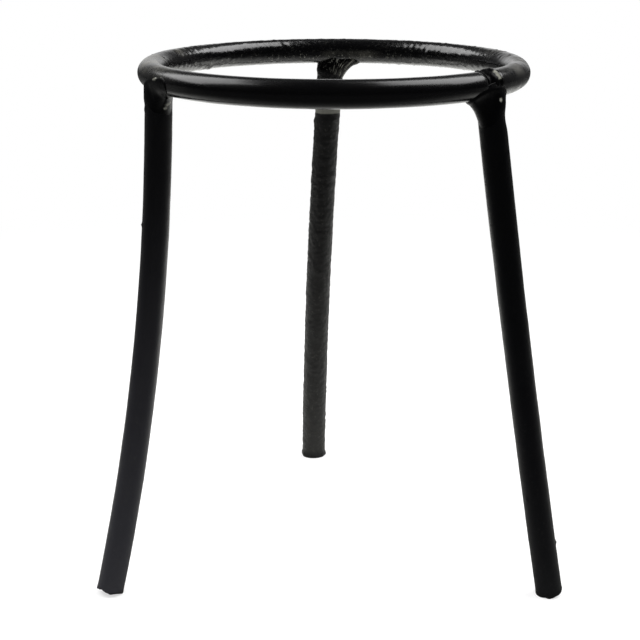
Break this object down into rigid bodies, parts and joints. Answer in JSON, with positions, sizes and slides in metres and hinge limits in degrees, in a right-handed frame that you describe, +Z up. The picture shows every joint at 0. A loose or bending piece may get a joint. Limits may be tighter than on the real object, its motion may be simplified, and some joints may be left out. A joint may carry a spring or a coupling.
{
  "type": "lab tripod stand",
  "caption": "Welded lab tripod stand: a round-bar ring on splayed, hand-bent round-bar legs, for holding a gauze or vessel over a burner.",
  "frame": {"origin": "on the bench that the stand stands on, on the axis of the ring", "axes": "+Z up along the ring's axis, +Y towards the back leg, +X to the right with the right leg on its side"},
  "size_m": [0.1393, 0.1388, 0.156],
  "materials": {
    "gloss_paint": "gloss",
    "satin_paint": "satin",
    "weld_paint": "semi-gloss over rough weld"
  },
  "bodies": {
    "root": {"ring": "gloss_paint", "ring_seam_weld": "weld_paint", "leg_left": "satin_paint", "leg_right": "satin_paint", "leg_back": "satin_paint", "weld_left": "weld_paint", "weld_right": "weld_paint", "weld_back": "weld_paint"}
  },
  "joints": []
}
